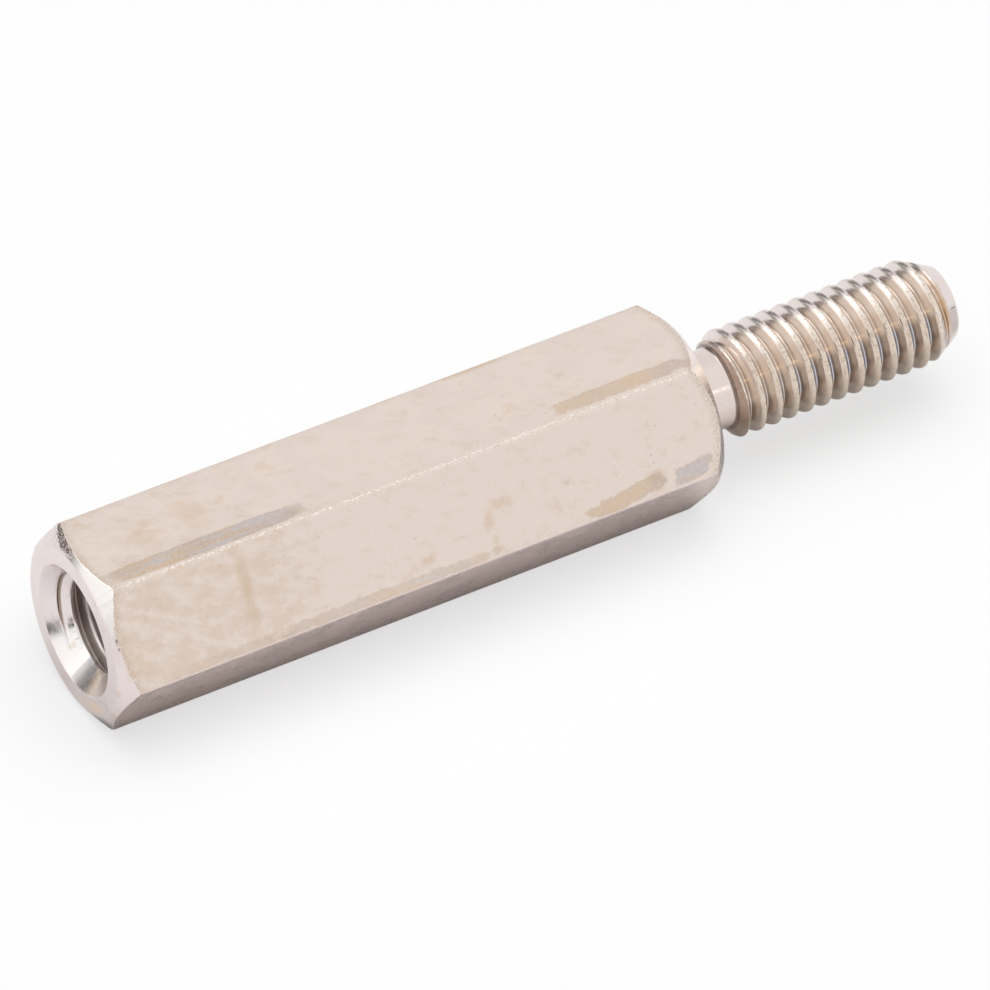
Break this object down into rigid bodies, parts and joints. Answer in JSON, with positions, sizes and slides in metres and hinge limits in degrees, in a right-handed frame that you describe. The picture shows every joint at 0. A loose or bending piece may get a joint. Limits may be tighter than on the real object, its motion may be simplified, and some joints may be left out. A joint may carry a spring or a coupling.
{
  "type": "hex standoff",
  "caption": "Hex standoff in nickel-plated brass, with a threaded stud at one end and a tapped, countersunk socket at the other.",
  "frame": {"origin": "on the axis, in the plane of the end face that holds the threaded socket", "axes": "+X along the axis to the stud's tip; +Z square to the hexagon's upper flat, with the opposite flat resting on the bench; +Y completes a right-handed set"},
  "size_m": [0.026, 0.0058, 0.005],
  "materials": {
    "nickel_plated_brass": "bright nickel plating, slightly tarnished"
  },
  "bodies": {
    "root": {"standoff": "nickel_plated_brass"}
  },
  "joints": []
}
